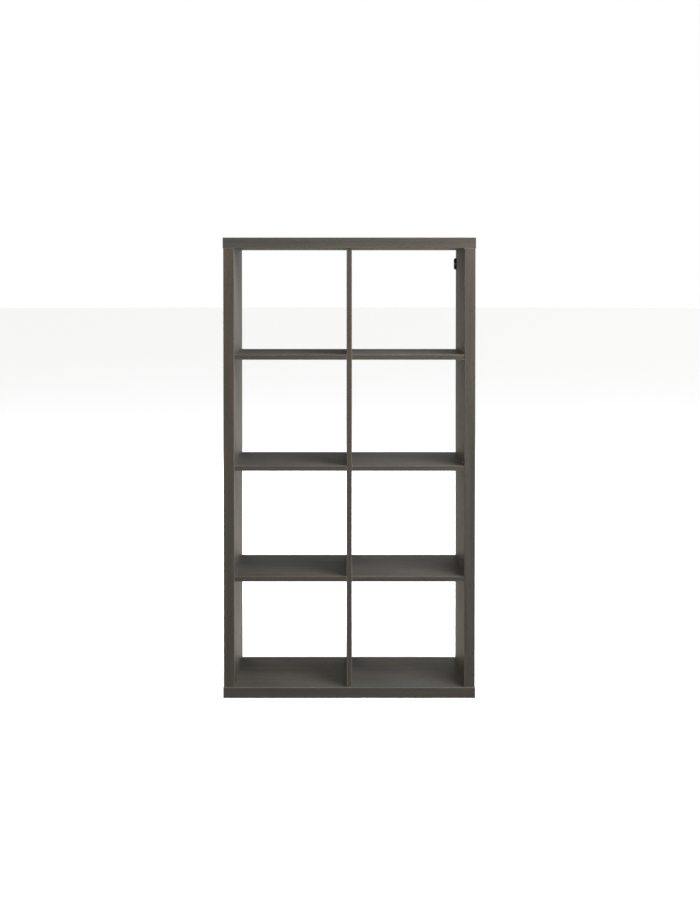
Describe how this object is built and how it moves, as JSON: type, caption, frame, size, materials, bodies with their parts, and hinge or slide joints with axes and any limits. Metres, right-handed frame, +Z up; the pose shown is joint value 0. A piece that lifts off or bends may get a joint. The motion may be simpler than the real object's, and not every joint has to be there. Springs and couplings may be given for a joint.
{
  "type": "cube storage unit",
  "caption": "Free-standing open shelving unit with thick hollow outer panels, a full-height centre divider and square compartments open at front and back.",
  "frame": {"origin": "on the floor, at the centre of the unit's footprint", "axes": "+Z up, the front faces -Y, +X to the right as seen from the front"},
  "size_m": [0.797, 0.39, 1.456],
  "materials": {
    "foiled_fibreboard_skin": "dark grey-brown wood-effect foil, satin, fine straight grain along the panel",
    "foiled_board": "dark grey-brown wood-effect foil, satin, fine straight grain along the board",
    "edge_band": "dark grey-brown wood-effect band, satin, eased edges",
    "raw_board_rail": "raw particleboard",
    "honeycomb_paper": "brown kraft paper",
    "beech_dowel": "plain beech",
    "zinc_plated_steel": "bright zinc plating",
    "bracket_nylon": "moulded black nylon, matt"
  },
  "bodies": {
    "root": {"bottom_panel_edge_bands": "edge_band", "bottom_panel_end_rails": "raw_board_rail", "bottom_panel_honeycomb_core": "honeycomb_paper", "bottom_panel_long_rails": "raw_board_rail", "bottom_panel_lower_skin": "foiled_fibreboard_skin", "bottom_panel_middle_rail": "raw_board_rail", "bottom_panel_upper_skin": "foiled_fibreboard_skin", "centre_divider_board": "foiled_board", "centre_divider_edge_bands": "edge_band", "connector_bolts_bottom": "zinc_plated_steel", "connector_bolts_top": "zinc_plated_steel", "corner_dowels_bottom": "beech_dowel", "corner_dowels_top": "beech_dowel", "divider_dowels_bottom": "beech_dowel", "divider_dowels_top": "beech_dowel", "left_side_edge_bands": "edge_band", "left_side_end_rails": "raw_board_rail", "left_side_honeycomb_core": "honeycomb_paper", "left_side_inner_skin": "foiled_fibreboard_skin", "left_side_long_rails": "raw_board_rail", "left_side_outer_skin": "foiled_fibreboard_skin", "left_side_shelf_rails": "raw_board_rail", "lower_left_shelf_board": "foiled_board", "lower_left_shelf_edge_bands": "edge_band", "lower_right_shelf_board": "foiled_board", "lower_right_shelf_edge_bands": "edge_band", "middle_left_shelf_board": "foiled_board", "middle_left_shelf_edge_bands": "edge_band", "middle_right_shelf_board": "foiled_board", "middle_right_shelf_edge_bands": "edge_band", "right_side_edge_bands": "edge_band", "right_side_end_rails": "raw_board_rail", "right_side_honeycomb_core": "honeycomb_paper", "right_side_inner_skin": "foiled_fibreboard_skin", "right_side_long_rails": "raw_board_rail", "right_side_outer_skin": "foiled_fibreboard_skin", "right_side_shelf_rails": "raw_board_rail", "shelf_dowels_left_side": "beech_dowel", "shelf_dowels_right_side": "beech_dowel", "shelf_dowels_through_divider": "beech_dowel", "threaded_inserts_bottom": "zinc_plated_steel", "threaded_inserts_top": "zinc_plated_steel", "top_panel_edge_bands": "edge_band", "top_panel_end_rails": "raw_board_rail", "top_panel_honeycomb_core": "honeycomb_paper", "top_panel_long_rails": "raw_board_rail", "top_panel_lower_skin": "foiled_fibreboard_skin", "top_panel_middle_rail": "raw_board_rail", "top_panel_upper_skin": "foiled_fibreboard_skin", "upper_left_shelf_board": "foiled_board", "upper_left_shelf_edge_bands": "edge_band", "upper_right_shelf_board": "foiled_board", "upper_right_shelf_edge_bands": "edge_band", "wall_bracket": "bracket_nylon", "wall_bracket_screws": "zinc_plated_steel"}
  },
  "joints": []
}
